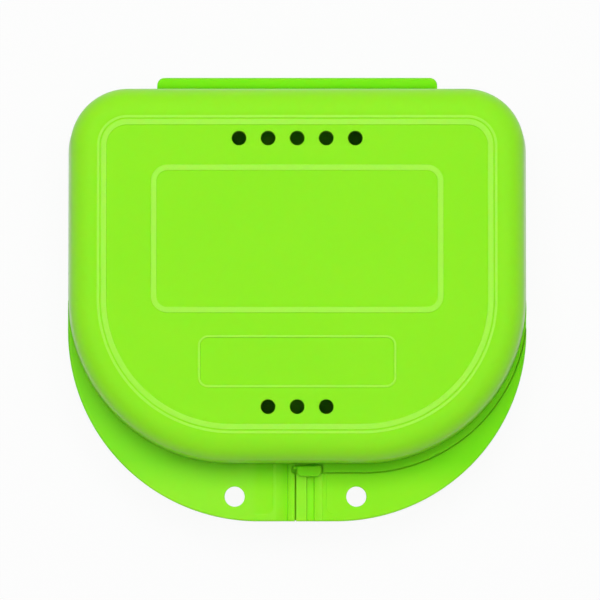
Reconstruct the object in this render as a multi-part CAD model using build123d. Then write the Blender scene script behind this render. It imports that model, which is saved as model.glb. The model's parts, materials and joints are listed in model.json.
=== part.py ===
from build123d import *
from math import radians, tan
import os

# Retainer case: a shallow D-shaped base and a domed lid of the same outline,
# moulded in one plastic. A cover strip on the lid's back hides the knuckles
# and the pin of the hinge. In front each half carries one of two thumb tabs
# that lie side by side, and a springy hook on the base stands before a catch
# on the lid's front wall. Each half's tab and lip are one moulding with its
# shell, and are kept as solids of their own that meet the shell's wall.
# Millimetres. +Z is up, +Y is the hinge side, -Y the thumb tabs, and the
# origin is at the middle of the closed case's footprint, on its underside.

# Overall sizes
case_width = 80.0  # across the rims and the thumb tabs
body_depth = 65.0  # front wall to back wall, at the rims
tab_reach = 10.0  # thumb tabs in front of the body
lid_height = 13.5
base_height = 13.5
wall = 1.8

# Outline and roll of both halves
front_corner = 28.5
back_corner = 10.5
outer_roll = 5.0  # between the side wall and the top or underside
side_draft = 4.6  # degrees
end_draft = 1.1  # degrees, front and back walls
edge_round = 0.35  # thin moulded edges

# Lip along the front of each rim, beside the other half's tab
lip_reach = 1.5
lip_thickness = 1.2
lip_gap = 0.2

# Rabbet that keeps the lid in line: the lid's outer skirt round a rim on the base
skirt = 0.9
rim_height = 1.2
rim_clearance = 0.1
rim_round = 0.2

# Crown of the lid: a groove and a bead round a panel that lies lower
bead_inset_side = 6.4
bead_inset_end = 5.8
bead_width = 0.93
bead_groove = 0.42
panel_drop = 0.3
relief_round = 0.12

# Label frame and name field on the panel, placed from the bead's outer edge
label_inset_side = 8.4
label_inset_back = 7.8
label_line = 1.1
label_rise = 0.25
label_corner = 2.9
name_width = 34.1
name_height = 9.0
name_inset_front = 7.2
name_gap = 3.8  # label frame to the name field
name_corner = 1.75
name_line = 0.35
name_rise = 0.1
name_sink = 0.15

# Air holes, placed from the bead's outer edge
vent_radius = 1.25
vent_pitch = 5.0
back_vents = 5
back_vent_inset = 3.3
front_vents = 3
front_vent_inset = 3.9

# Thumb tabs. X sizes count from the split between them
tab_corner = 33.2
tab_overlap = 0.6  # how far each tab passes the plane between the halves
tab_split = -0.3  # middle of the gap between the two tabs
tab_gap = 0.4
tab_border = 1.2
pocket_depth = 0.3  # at the border; the pocket runs out towards the hole
pocket_end = 8.3
pocket_corner = 1.3
lid_pocket_start = 4.0
lid_trough_start = 3.6
lid_trough_end = 1.35
lid_trough_step = 0.12
lid_trough_depth = 0.75
base_pocket_start = 5.4
base_trough_start = 2.15
base_trough_end = 3.35
base_trough_depth = 0.8
base_ridge_end = 4.5
base_ridge_drop = 0.1
base_ridge_slope = 0.4
lanyard_radius = 1.75
lanyard_offset = 10.6
lanyard_setback = 4.3  # hole centre to the tab's front edge
hole_round = 0.15

# Hinge
hinge_length = 48.9
pin_radius = 0.65
knuckle_wall = 0.65
hinge_clearance = 0.12
hinge_wall_gap = 1.0  # pin axis to the back wall
cover_thickness = 0.95
cover_overhang = 0.05  # cover's rear edge past the knuckles
cover_corner = 1.3
cover_round = 0.45
knuckle_gap = 0.2
end_knuckle = 7.8
centre_knuckle = 8.0
pin_seat_clearance = 0.01
pin_running_clearance = 0.05
pin_end_gap = 0.4
bore_end_wall = 2.0  # closed end of the pin's bore

# Springy hook on the base, and the catch that it stands before
hook_width = 4.3
hook_depth = 1.92
hook_height = 0.95
hook_corner = 0.85
hook_round = 0.38
hook_split_gap = 0.2  # hook's left side to the middle of the tab gap
hook_lift = 0.35  # hook's underside above the tab strips
catch_reach = 0.25
catch_height = 0.6
catch_clearance = 0.05
arm_width = 3.4
arm_thickness = 0.9
arm_nose = 0.2  # hook's nose past the arm, towards the lid
arm_length = 7.0  # arm's foot below the plane between the halves
arm_seat_height = 1.2
slot_clearance = 0.25
slot_travel = 0.65  # room for the arm to bend outwards
lip_notch_gap = 0.3
ear_reach = 0.65
ear_width = 0.5
ear_height = 0.5
ear_setback = 0.15  # ear behind the hook's back edge
ear_clearance = 0.2

# Inside and underside
foot_height = 0.5
foot_width = 1.2
foot_clearance = 0.3  # to the lid's bead, so that closed cases stack
gate_radius = 1.6
gate_depth = 0.3
gate_stub_radius = 0.5
ejector_radius = 2.0
ejector_depth = 0.1
ejector_x = 20.0
ejector_y = 16.0

# Places that follow from the sizes. Heights count from the plane between the
# halves, where the rims meet, and each finished half moves up to it.
knuckle_radius = pin_radius + knuckle_wall
cover_rear = knuckle_radius + cover_overhang
overall_depth = tab_reach + body_depth + hinge_wall_gap + cover_rear
half_width = case_width / 2
tab_front = -overall_depth / 2
body_front = tab_front + tab_reach
body_back = body_front + body_depth
body_middle = (body_front + body_back) / 2
corner_start = body_front + front_corner
hinge_y = body_back + hinge_wall_gap
panel_z = lid_height - panel_drop
tab_top = lip_thickness
lid_tab_edge = tab_split - tab_gap / 2
base_tab_edge = tab_split + tab_gap / 2
hook_left = tab_split + hook_split_gap
hook_right = hook_left + hook_width
hook_x = (hook_left + hook_right) / 2
hook_back = body_front - catch_reach - catch_clearance
hook_under = tab_top + hook_lift
arm_back = hook_back - arm_nose
arm_front = arm_back - arm_thickness
lip_start = hook_right + lip_notch_gap
cover_under = knuckle_radius + hinge_clearance
root = skirt / 2  # how deep added pieces reach into a wall
past = 1.0  # how far a cutting tool runs past what it cuts


def slab(face, low, high):
    """Solid between two heights over a flat face."""
    return Pos(0, 0, low) * extrude(face, amount=high - low)


def block(x, y, z):
    """Box between two corners, from its low and high X, Y and Z."""
    middle = Pos((x[0] + x[1]) / 2, (y[0] + y[1]) / 2, (z[0] + z[1]) / 2)
    return middle * Box(x[1] - x[0], y[1] - y[0], z[1] - z[0])


def d_face(half, front, back, front_radius, back_radius):
    """D-shaped face: wide round corners in front, small ones behind."""
    face = Pos(0, (front + back) / 2) * Rectangle(2 * half, back - front)
    face = fillet(face.vertices().group_by(Axis.Y)[0], front_radius)
    return fillet(face.vertices().group_by(Axis.Y)[-1], back_radius)


def outline(side, end):
    """The body's outline at the rims, drawn in at the sides and ends."""
    corner = (side + end) / 2
    return d_face(
        half_width - side,
        body_front + end,
        body_back - end,
        front_corner - corner,
        back_corner - corner,
    )


def outline_ring(side, end, width):
    """Band of one width that follows the outline."""
    return outline(side, end) - outline(side + width, end + width)


def lip_outline(gap):
    """The outline moved forward, which makes the lip in front of a rim."""
    return Pos(0, -lip_reach) * outline(-gap, -gap)


def tab_outline(inset):
    """Front part of the outline that both thumb tabs share."""
    face = d_face(
        half_width - inset,
        tab_front + inset,
        body_back,
        tab_corner - inset,
        back_corner,
    )
    front = Pos(0, corner_start - body_depth) * Rectangle(case_width, 2 * body_depth)
    return face & front


def beside(face, low, high):
    """The part of a face between two X values."""
    return face & Pos((low + high) / 2, 0) * Rectangle(high - low, 2 * overall_depth)


def rounded_slab(face, low, high, radius):
    """Slab with its upper and lower edges rounded."""
    solid = slab(face, low, high)
    solid = fillet(solid.faces().sort_by(Axis.Z)[-1].edges(), radius)
    return fillet(solid.faces().sort_by(Axis.Z)[0].edges(), radius)


def topped_slab(face, low, high, radius):
    """Slab with its upper edges rounded."""
    solid = slab(face, low, high)
    return fillet(solid.faces().sort_by(Axis.Z)[-1].edges(), radius)


def prism(points, start, end):
    """Solid of one XZ section, given as points, between two Y values."""
    section = Plane.XZ * make_face(Polyline(*points, close=True))
    return Pos(0, end, 0) * extrude(section, amount=end - start)


def rolled_block(inset, height, roll):
    """Block of the outline with leaning sides and a rolled upper edge."""
    side = inset + height * tan(radians(side_draft))
    end = inset + height * tan(radians(end_draft))
    faces = [outline(inset, inset), Pos(0, 0, height) * outline(side, end)]
    solid = loft(faces, ruled=True)
    return fillet(solid.faces().sort_by(Axis.Z)[-1].edges(), roll)


def bowl(height):
    """Open shell that stands on its rim, floor up."""
    depth = height - wall
    shell = rolled_block(0, height, outer_roll)
    shell -= rolled_block(wall, depth, outer_roll - wall)
    mark = Cylinder(ejector_radius, 2 * ejector_depth)
    x_places = (-ejector_x, ejector_x)
    y_places = (body_middle - ejector_y, body_middle + ejector_y)
    return shell - [Pos(x, y, depth) * mark for x in x_places for y in y_places]


def crown(shell):
    """Groove, bead, label frame and name field on top of the lid."""
    groove_side = bead_inset_side - bead_groove
    groove_end = bead_inset_end - bead_groove
    shell -= slab(outline(groove_side, groove_end), panel_z, lid_height + past)
    mouth = shell.faces().filter_by(Axis.Z).sort_by(Axis.Z)[-1]
    shell = fillet(mouth.inner_wires()[0].edges(), relief_round)
    low = panel_z - wall / 2
    bead = outline_ring(bead_inset_side, bead_inset_end, bead_width)
    shell += topped_slab(bead, low, lid_height, relief_round)
    return name_field(label_frame(shell, low), low)


def label_frame(shell, low):
    """Raised line round the place for a label."""
    half = half_width - bead_inset_side - label_inset_side
    back = body_back - bead_inset_end - label_inset_back
    front = name_back() + name_gap
    place = Pos(0, (front + back) / 2)
    outer = RectangleRounded(2 * half, back - front, label_corner)
    inner = RectangleRounded(
        2 * (half - label_line),
        back - front - 2 * label_line,
        label_corner - label_line,
    )
    line = place * (outer - inner)
    return shell + topped_slab(line, low, panel_z + label_rise, relief_round)


def name_back():
    """Back edge of the name field."""
    return body_front + bead_inset_end + name_inset_front + name_height


def name_field(shell, low):
    """Thin raised line round a field that is a little sunk."""
    place = Pos(0, name_back() - name_height / 2)
    outer = RectangleRounded(name_width, name_height, name_corner)
    inner = RectangleRounded(
        name_width - 2 * name_line,
        name_height - 2 * name_line,
        name_corner - name_line,
    )
    line = topped_slab(place * (outer - inner), low, panel_z + name_rise, name_rise / 2)
    return shell - slab(place * outer, panel_z - name_sink, lid_height) + line


def air_holes(shell):
    """Rows of air holes behind the label frame and before the name field."""
    rows = (
        (back_vents, body_back - bead_inset_end - back_vent_inset),
        (front_vents, body_front + bead_inset_end + front_vent_inset),
    )
    drills = []
    for count, y in rows:
        for step in range(count):
            x = (step - (count - 1) / 2) * vent_pitch
            drills.append(Pos(x, y, lid_height) * Cylinder(vent_radius, 4 * wall))
    shell -= drills
    rims = shell.edges().filter_by(GeomType.CIRCLE)
    rims = rims.filter_by(lambda edge: abs(edge.radius - vent_radius) < 0.001)
    rims = rims.filter_by(lambda edge: abs(edge.center().Z - panel_z) < 0.001)
    return fillet(rims, hole_round)


def lid_block():
    """The lid's outer form, filled, which its tab and lip stand against."""
    return rolled_block(0, lid_height, outer_roll)


def base_block():
    """The base's outer form, filled."""
    return mirror(rolled_block(0, base_height - foot_height, outer_roll), about=Plane.XY)


def cut_pocket(plate, edge, towards, top):
    """Plate with a shallow pocket, whose floor rises from its edge outwards."""
    face = beside(tab_outline(tab_border), *sorted((edge, towards * case_width)))
    corner = face.vertices().sort_by(lambda v: abs(v.X - edge) + v.Y)[0]
    pocket = slab(fillet(corner, pocket_corner), top - pocket_depth - past, top + past)
    end = tab_split + towards * pocket_end
    floor = [(edge, top - pocket_depth), (end, top), (end, top + past), (edge, top + past)]
    return plate - (pocket & prism(floor, tab_front - past, corner_start))


def lanyard_hole(plate, towards):
    """Plate with its round hole for a cord, edges rounded."""
    x = tab_split + towards * lanyard_offset
    plate -= Pos(x, tab_front + lanyard_setback) * Cylinder(lanyard_radius, case_width)
    rims = plate.edges().filter_by(GeomType.CIRCLE)
    rims = rims.filter_by(lambda edge: abs(edge.radius - lanyard_radius) < 0.001)
    return fillet(rims, hole_round)


def lid_thumb_tab():
    """Left thumb tab, level with the lip and notched over the base's lip."""
    face = beside(tab_outline(0), -case_width, lid_tab_edge)
    tab = rounded_slab(face, -tab_overlap, tab_top, edge_round)
    tab = cut_pocket(tab, tab_split - lid_pocket_start, -1, tab_top)
    tab = lanyard_hole(tab, -1)
    start = tab_split - lid_trough_start
    end = tab_split - lid_trough_end
    trough = [
        (start, tab_top + past),
        (start, tab_top - lid_trough_step),
        (end, tab_top - lid_trough_depth),
        (end, tab_top + past),
    ]
    tab -= prism(trough, tab_front - past, corner_start)
    tab -= slab(lip_outline(lip_gap), -past, 0)
    return Pos(0, 0, base_height) * (tab - ear_notch() - lid_block())


def ear_notch():
    """Notch in the lid's tab that leaves room for the hook's ear."""
    back = hook_back - ear_setback + ear_clearance
    front = hook_back - ear_setback - ear_width - slot_travel - ear_clearance
    reach = ear_reach - hook_split_gap - tab_gap / 2 + 2 * ear_clearance
    radius = (back - front) / 2
    shape = Pos(lid_tab_edge + radius - reach, (back + front) / 2) * Circle(radius)
    return slab(shape, -past, tab_top + past)


def base_thumb_tab():
    """Right thumb tab, lower than the lid's, with two grip ridges and the hook's slot."""
    top = tab_overlap
    face = beside(tab_outline(0), base_tab_edge, case_width)
    tab = rounded_slab(face, -lip_thickness, top, edge_round)
    tab = cut_pocket(tab, tab_split + base_pocket_start, 1, top)
    tab = lanyard_hole(tab, 1)
    tab += grip_ridges()
    tab -= slab(lip_outline(lip_gap), 0, lid_height)
    return Pos(0, 0, base_height) * (tab - arm_slot() - base_block())


def grip_ridges():
    """Two ridges along the split, with a trough between them."""
    ridge_top = tab_top - base_ridge_drop
    slope_end = tab_split + base_ridge_end + base_ridge_slope
    strip = beside(tab_outline(0), base_tab_edge, slope_end)
    solid = rounded_slab(strip, -lip_thickness, tab_top, edge_round)
    trough_start = tab_split + base_trough_start
    trough_end = tab_split + base_trough_end
    trough = [
        (trough_start, tab_top + past),
        (trough_start, tab_top),
        (trough_end, tab_top - base_trough_depth),
        (trough_end, tab_top + past),
    ]
    flank = [
        (trough_end, tab_top + past),
        (trough_end, ridge_top),
        (tab_split + base_ridge_end, ridge_top),
        (slope_end, tab_overlap),
        (slope_end + past, tab_overlap),
        (slope_end + past, tab_top + past),
    ]
    cutters = prism(trough, tab_front - past, corner_start)
    return solid - cutters - prism(flank, tab_front - past, corner_start)


def barrels(spans, radius):
    """Round bars along the hinge axis, one for each X span."""
    bars = []
    for low, high in spans:
        bar = Rot(0, 90, 0) * Cylinder(radius, high - low)
        bars.append(Pos((low + high) / 2, hinge_y, 0) * bar)
    return bars


def lid_spans(gap):
    """X spans of the lid's three knuckles, widened by a gap."""
    end = hinge_length / 2
    middle = centre_knuckle / 2 + gap
    return (
        (-end - gap, end_knuckle - end + gap),
        (-middle, middle),
        (end - end_knuckle - gap, end + gap),
    )


def base_spans(gap):
    """X spans of the base's two knuckles, widened by a gap."""
    inner = centre_knuckle / 2 + knuckle_gap - gap
    outer = hinge_length / 2 - end_knuckle - knuckle_gap + gap
    return (-outer, -inner), (inner, outer)


def webs(spans, rear, low, high):
    """Blocks that tie each knuckle to its back wall."""
    return [block(span, (body_back - root, rear), (low, high)) for span in spans]


def pin_bore(clearance):
    """Bore for the hinge pin: closed on the left, open on the right."""
    left = bore_end_wall - hinge_length / 2
    return barrels([(left, hinge_length / 2 + past)], pin_radius + clearance)


def hinge_cover():
    """Strip over the knuckles, with rounded rear corners and edges."""
    front = body_back - root
    rear = hinge_y + cover_rear
    face = Pos(0, (front + rear) / 2) * Rectangle(hinge_length, rear - front)
    face = fillet(face.vertices().group_by(Axis.Y)[-1], cover_corner)
    return topped_slab(face, cover_under, cover_under + cover_thickness, cover_round)


def lid_hinge(shell):
    """Lid with its cover strip and knuckles, cleared for the base's."""
    shell -= barrels(base_spans(knuckle_gap), cover_under)
    shell += hinge_cover()
    spans = lid_spans(0)
    shell += barrels(spans, knuckle_radius)
    shell += webs(spans, hinge_y, 0, cover_under)
    shell += webs(spans, hinge_y + pin_radius, pin_radius, cover_under)
    return shell - pin_bore(pin_running_clearance)


def base_hinge(shell):
    """Base with its two knuckles, cleared for the lid's."""
    shell -= barrels(lid_spans(knuckle_gap), cover_under)
    spans = base_spans(0)
    shell += barrels(spans, knuckle_radius)
    shell += webs(spans, hinge_y, -knuckle_radius, 0)
    return shell - pin_bore(pin_seat_clearance)


def catch():
    """Small ledge on the lid's front wall, behind the hook's nose."""
    front = body_front - catch_reach
    slope = catch_reach / 2
    points = [
        (body_front + root, 0),
        (front + slope, 0),
        (front, slope),
        (front, catch_height),
        (body_front + root, catch_height),
    ]
    section = Plane.YZ * make_face(Polyline(*points, close=True))
    return Pos(hook_x - arm_width / 2) * extrude(section, amount=arm_width)


def lid_shell():
    """The lid: dome, catch, hinge cover and its knuckles."""
    shell = crown(bowl(lid_height))
    shell -= slab(outline(skirt, skirt), 0, rim_height + rim_clearance)
    shell = lid_hinge(air_holes(shell) + catch())
    return Pos(0, 0, base_height) * shell


def lid_rim_lip():
    """Lip in front of the lid's rim, on the right of the hook."""
    face = beside(lip_outline(0) & tab_outline(0), lip_start, case_width)
    lip = topped_slab(face, 0, lip_thickness, relief_round)
    return Pos(0, 0, base_height) * (lip - lid_block())


def registration_rim():
    """Rim that stands on the base's wall, inside the lid's skirt."""
    inset = skirt + rim_clearance
    ring = outline_ring(inset, inset, wall - inset)
    return topped_slab(ring, -root, rim_height, rim_round)


def arm_seat():
    """Block on the base's front wall that carries the foot of the hook's arm."""
    x = (hook_x - arm_width / 2, hook_x + arm_width / 2)
    z = (-arm_length, arm_seat_height - arm_length)
    return block(x, (arm_back, body_front + root), z)


def arm_slot():
    """Slot in the base's tab, in which the hook's arm stands and bends."""
    half = arm_width / 2 + slot_clearance
    y = (arm_front - slot_travel, body_front)
    return block((hook_x - half, hook_x + half), y, (-tab_top - past, tab_top + past))


def foot():
    """Ring under the base that drops inside the bead of a lid below it."""
    inset = bead_width + foot_clearance
    face = outline_ring(bead_inset_side + inset, bead_inset_end + inset, foot_width)
    return rounded_slab(face, -base_height, foot_height + root - base_height, rim_round)


def gate_mark(shell):
    """Round dimple under the base with the stub left by the moulding gate."""
    surface = foot_height - base_height
    place = Pos(0, body_middle, surface)
    shell -= place * Cylinder(gate_radius, 2 * gate_depth)
    stub = place * Pos(0, 0, gate_depth / 2) * Cylinder(gate_stub_radius, gate_depth)
    return shell + stub


def base_shell():
    """The base: tray, registration rim, foot and two knuckles."""
    shell = mirror(bowl(base_height - foot_height), about=Plane.XY)
    shell = gate_mark(shell + registration_rim() + arm_seat() + foot())
    return Pos(0, 0, base_height) * base_hinge(shell)


def base_rim_lip():
    """Lip in front of the base's rim, on the left, under the lid's tab."""
    face = beside(lip_outline(0) & tab_outline(0), -case_width, base_tab_edge)
    return Pos(0, 0, base_height) * (slab(face, -lip_thickness, 0) - base_block())


def hinge_pin():
    """Steel pin, held in the base's knuckles."""
    low = bore_end_wall + pin_end_gap / 2 - hinge_length / 2
    pin = Rot(0, 90, 0) * Cylinder(pin_radius, hinge_length / 2 - pin_end_gap - low)
    pin = chamfer(pin.edges().filter_by(GeomType.CIRCLE), pin_radius / 4)
    x = (low + hinge_length / 2 - pin_end_gap) / 2
    return Pos(x, hinge_y, base_height) * pin


def latch_hook():
    """Hook with its springy arm, a rounded head and a small ear on the left."""
    x = (hook_x - arm_width / 2, hook_x + arm_width / 2)
    arm = block(x, (arm_front, arm_back), (-arm_length, hook_under + root))
    nose = block(x, (arm_back, hook_back), (catch_height + catch_clearance, hook_under + root))
    place = Pos(hook_x, hook_back - hook_depth / 2)
    face = place * Rectangle(hook_width, hook_depth)
    face = fillet(face.vertices().group_by(Axis.Y)[0], hook_corner)
    face = fillet(face.vertices().group_by(Axis.Y)[-1], hook_round)
    head = topped_slab(face, hook_under, hook_under + hook_height, hook_round)
    ear_back = hook_back - ear_setback
    ear = Pos(hook_left, ear_back - ear_width / 2) * RectangleRounded(
        2 * ear_reach, ear_width, ear_width / 2 - relief_round / 2
    )
    ear = topped_slab(ear, hook_under, hook_under + ear_height, relief_round)
    return Pos(0, 0, base_height) * (arm + nose + head + ear)


os.makedirs("parts", exist_ok=True)
shells = (base_shell, lid_shell)
fronts = (base_thumb_tab, base_rim_lip, lid_thumb_tab, lid_rim_lip)
for node in (*shells, *fronts, hinge_pin, latch_hook):
    export_step(node(), f"parts/{node.__name__}.step")
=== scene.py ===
import json

import bmesh
import bpy
import numpy as np
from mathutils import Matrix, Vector


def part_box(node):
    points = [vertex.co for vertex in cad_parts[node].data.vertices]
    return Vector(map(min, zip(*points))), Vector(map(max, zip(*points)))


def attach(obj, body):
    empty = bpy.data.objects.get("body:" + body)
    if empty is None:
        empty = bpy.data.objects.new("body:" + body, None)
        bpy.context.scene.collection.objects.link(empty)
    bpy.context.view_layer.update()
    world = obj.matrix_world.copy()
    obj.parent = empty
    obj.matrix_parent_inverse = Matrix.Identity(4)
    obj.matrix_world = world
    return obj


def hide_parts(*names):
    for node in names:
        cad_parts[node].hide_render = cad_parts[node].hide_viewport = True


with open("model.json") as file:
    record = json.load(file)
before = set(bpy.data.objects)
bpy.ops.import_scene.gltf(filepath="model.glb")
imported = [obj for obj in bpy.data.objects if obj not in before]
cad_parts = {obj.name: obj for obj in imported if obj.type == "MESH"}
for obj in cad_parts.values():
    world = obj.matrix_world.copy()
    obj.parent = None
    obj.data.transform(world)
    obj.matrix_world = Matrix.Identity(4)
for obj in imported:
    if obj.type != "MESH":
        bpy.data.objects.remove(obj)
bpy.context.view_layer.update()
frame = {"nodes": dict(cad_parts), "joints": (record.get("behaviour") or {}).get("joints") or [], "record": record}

# The tray: a D-shaped bowl injection moulded in bright green plastic. Its walls lean
# in towards a rolled floor edge, a foot ring stands under it, and a thin rim inside
# the outer edge guides the lid on. The gate and ejector pins left their round marks.
mm = 0.001
joints = {joint["name"]: np.array(joint["pos_m"]) / mm for joint in frame["joints"]}
hinge_y, rim_plane = joints["lid_hinge"][1:]  # the two halves meet at the pin's height
half_width = round(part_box("base_shell")[1].x / mm, 3)
case_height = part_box("lid_shell")[1].z / mm
body_depth = 65.0
pin_behind = 1.0  # the pin's axis behind the back wall's outer edge
body_back = hinge_y - pin_behind
body_front = body_back - body_depth
body_middle = (body_front + body_back) / 2
front_corner = 28.5
back_corner = 10.5
side_draft = np.radians(4.6)
end_draft = np.radians(1.1)
wall = 1.8
outer_roll = 5.0
outer_start = 0.5  # the walls' first rings from the rim, outside and inside
inner_start = 0.2
edge_round = 0.12
run = 1.0  # a profile's end runs only give its direction, and are cut off


def soft_rings(low, high, radii, inset_x, inset_y, steps):
    """Plan rings of a rectangle with round corners, one for each pair of insets.

    Each corner is an arc of its radius less the mean of the two insets, whose centre
    stands that far in from both sides. Corners go front right, back right, back left,
    front left, and straight runs join the arcs.
    """
    inset_x, inset_y = np.broadcast_arrays(np.atleast_1d(inset_x), np.atleast_1d(inset_y))
    inset_x, inset_y = inset_x[:, None], inset_y[:, None]
    arcs = []
    for turn, (corner, count) in enumerate(zip(radii, steps)):
        radius = np.maximum(corner - (inset_x + inset_y) / 2, 0)
        angle = np.radians(np.linspace(90 * turn - 90, 90 * turn, count))[None, :]
        x = high[0] - inset_x - radius if turn < 2 else low[0] + inset_x + radius
        y = high[1] - inset_y - radius if turn in (1, 2) else low[1] + inset_y + radius
        arcs.append(np.stack([x + radius * np.cos(angle), y + radius * np.sin(angle)], -1))
    return np.concatenate(arcs, 1)


def d_rings(side, end):
    """The case's D-shaped plan, drawn in by these insets at its sides and its ends."""
    low, high = (-half_width, body_front), (half_width, body_back)
    radii = (front_corner, back_corner, back_corner, front_corner)
    steps = (44, 26, 26, 44)
    return soft_rings(low, high, radii, side, end, steps)


def at_heights(plan, heights):
    """Rings in space: each plan ring lifted to its own height."""
    heights = np.broadcast_to(np.reshape(heights, (-1, 1, 1)), plan.shape[:2] + (1,))
    return np.concatenate([plan, heights], -1)


def rounded(points, radii, steps=5):
    """Polyline with each inner corner replaced by an arc that touches both its runs.

    The arc starts and ends radius x tan(half the turn) from the corner, and its points
    swing evenly from the first run's normal to the second's.
    """
    points = np.array(points, float)
    made = [points[:1]]
    for before, corner, after, radius in zip(points, points[1:], points[2:], radii):
        run_in = (corner - before) / np.linalg.norm(corner - before)
        run_out = (after - corner) / np.linalg.norm(after - corner)
        turn = np.arccos(np.clip(run_in @ run_out, -1, 1))
        start = corner - run_in * radius * np.tan(turn / 2)
        finish = corner + run_out * radius * np.tan(turn / 2)
        across = (run_out - run_in) / np.linalg.norm(run_out - run_in)
        middle = corner + across * radius / np.cos(turn / 2)
        share = np.linspace(0, 1, steps)[:, None]
        swing = np.sin((1 - share) * turn) * (start - middle) + np.sin(share * turn) * (finish - middle)
        made.append(middle + swing / np.sin(turn))
    return np.concatenate(made + [points[-1:]])


def wall_inset(height, draft, foot, top, roll):
    """How far in a leaning wall stands at a height above its foot.

    It is the height times the draft's tangent, up to where a circle of the roll's radius
    touches both the leaning wall and the flat top, and that circle from there on.
    """
    centre_height = top - roll
    centre = foot + centre_height * np.tan(draft) + roll / np.cos(draft)
    circle = centre - np.sqrt(np.clip(roll**2 - (height - centre_height) ** 2, 0, None))
    line = foot + height * np.tan(draft)
    return np.where(height > centre_height + roll * np.sin(draft), circle, line)


def wall_rows(start, foot, top, roll, straight_rows=4, roll_rows=24):
    """Rows (side inset, end inset, height) up a wall, then evenly round its roll."""
    straight = np.linspace(start, top - roll, straight_rows)
    angle = np.radians(np.linspace(0, 90, roll_rows + 1)[1:])
    height = np.concatenate([straight, top - roll + roll * np.sin(angle)])
    side = wall_inset(height, side_draft, foot, top, roll)
    end = wall_inset(height, end_draft, foot, top, roll)
    return np.stack([side, end, height], -1)


def even_rows(profile, side=0.0, end=0.0):
    """Rows for a profile of (inset, height) that stands in alike at the sides and the ends."""
    return np.stack([profile[:, 0] + side, profile[:, 0] + end, profile[:, 1]], -1)


def circle_rings(x, y, profile, steps=40):
    """Rings round an upright axis, one for each (radius, height) of a profile."""
    profile = np.array(profile, float)
    angle = np.linspace(0, 2 * np.pi, steps, endpoint=False)
    around = np.stack([np.cos(angle), np.sin(angle)], -1)
    return at_heights(np.array([x, y]) + profile[:, :1, None] * around, profile[:, 1])


def closed_mesh(name, bands, flats):
    """Closed mesh from bands of rings. Each flat spans the named end rings, (band, 0 or -1)."""
    same_place, no_length = 0.0005 * mm, 0.0002 * mm
    vertices = np.concatenate([band.reshape(-1, 3) for band in bands]) * mm
    starts = np.cumsum([0] + [band.shape[0] * band.shape[1] for band in bands])
    faces = []
    for band, start in zip(bands, starts):
        count, size = band.shape[:2]
        first = start + np.arange(count - 1)[:, None] * size
        corner, after = np.arange(size), np.roll(np.arange(size), -1)
        quads = [first + corner, first + after, first + size + after, first + size + corner]
        faces += np.stack(quads, -1).reshape(-1, 4).tolist()
    mesh = bpy.data.meshes.new(name)
    mesh.from_pydata(vertices, [], faces)
    shape = bmesh.new()
    shape.from_mesh(mesh)
    shape.verts.ensure_lookup_table()
    for flat in flats:
        edges = []
        for band, end in flat:
            count, size = bands[band].shape[:2]
            first = starts[band] - end * (count - 1) * size
            loop = [shape.verts[first + corner] for corner in range(size)]
            edges += [shape.edges.get(pair) for pair in zip(loop, loop[1:] + loop[:1])]
        bmesh.ops.triangle_fill(shape, edges=edges, use_beauty=True)
    bmesh.ops.remove_doubles(shape, verts=shape.verts, dist=same_place)
    bmesh.ops.dissolve_degenerate(shape, edges=shape.edges, dist=no_length)
    bmesh.ops.recalc_face_normals(shape, faces=shape.faces)
    shape.to_mesh(mesh)
    shape.free()
    piece = bpy.data.objects.new(name, mesh)
    bpy.context.scene.collection.objects.link(piece)
    return piece


# The plastic's tones. Between the first two the green changes mostly as painted shade, deeper and darker where a
# part lies low or close to a wall, and partly at random as uneven pigment. The third, paler and whiter, is painted
# on the highest tops as a painted sheen.
deep_green = (0.2, 0.72, 0.009, 1)
light_green = (0.322, 0.81, 0.022, 1)
painted_sheen_pale = (0.41, 0.85, 0.085, 1)
painted_shade_share = 0.8  # of the change from deep to light green, the share that is painted shade; the rest is the uneven pigment's
scatter_depth = 0.25  # how far light spreads under the surface


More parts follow.
